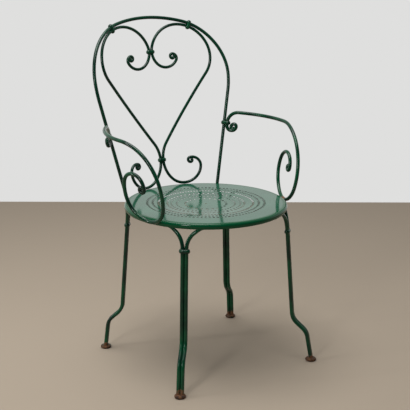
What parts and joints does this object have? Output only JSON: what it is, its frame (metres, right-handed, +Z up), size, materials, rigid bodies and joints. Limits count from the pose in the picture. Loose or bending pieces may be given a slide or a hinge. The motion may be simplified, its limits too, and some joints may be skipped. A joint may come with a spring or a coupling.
{
  "type": "garden armchair",
  "caption": "Garden armchair of bent round bar with a round perforated seat, heart-shaped scroll back, open scroll arms and paired-rod legs on small disc feet.",
  "frame": {"origin": "on the floor, in the middle of the chair's width and length", "axes": "+Z up, the sitter faces -Y, +X is the sitter's left"},
  "size_m": [0.5332, 0.5286, 0.9139],
  "materials": {
    "green_enamel": "glossy dark green enamel on round steel bar",
    "seat_enamel": "glossy dark green enamel on pressed sheet, worn and faded on top",
    "collar_enamel": "cast iron collar under glossy dark green enamel",
    "rusty_foot": "cast iron foot with brown rust through worn paint"
  },
  "bodies": {
    "root": {"arm_collar_left": "collar_enamel", "arm_collar_right": "collar_enamel", "arm_rod_left": "green_enamel", "arm_rod_right": "green_enamel", "back_hoop": "green_enamel", "front_left_foot": "rusty_foot", "front_left_leg_collar": "collar_enamel", "front_left_leg_rod_inner": "green_enamel", "front_left_leg_rod_outer": "green_enamel", "front_right_foot": "rusty_foot", "front_right_leg_collar": "collar_enamel", "front_right_leg_rod_inner": "green_enamel", "front_right_leg_rod_outer": "green_enamel", "heart_bottom_collar": "collar_enamel", "heart_rod_left": "green_enamel", "heart_rod_right": "green_enamel", "heart_top_collar": "collar_enamel", "hoop_collar_left": "collar_enamel", "hoop_collar_right": "collar_enamel", "rear_left_foot": "rusty_foot", "rear_left_leg_collar": "collar_enamel", "rear_left_leg_rod_inner": "green_enamel", "rear_left_leg_rod_outer": "green_enamel", "rear_right_foot": "rusty_foot", "rear_right_leg_collar": "collar_enamel", "rear_right_leg_rod_inner": "green_enamel", "rear_right_leg_rod_outer": "green_enamel", "seat_pan": "seat_enamel", "seat_ring": "green_enamel"}
  },
  "joints": []
}
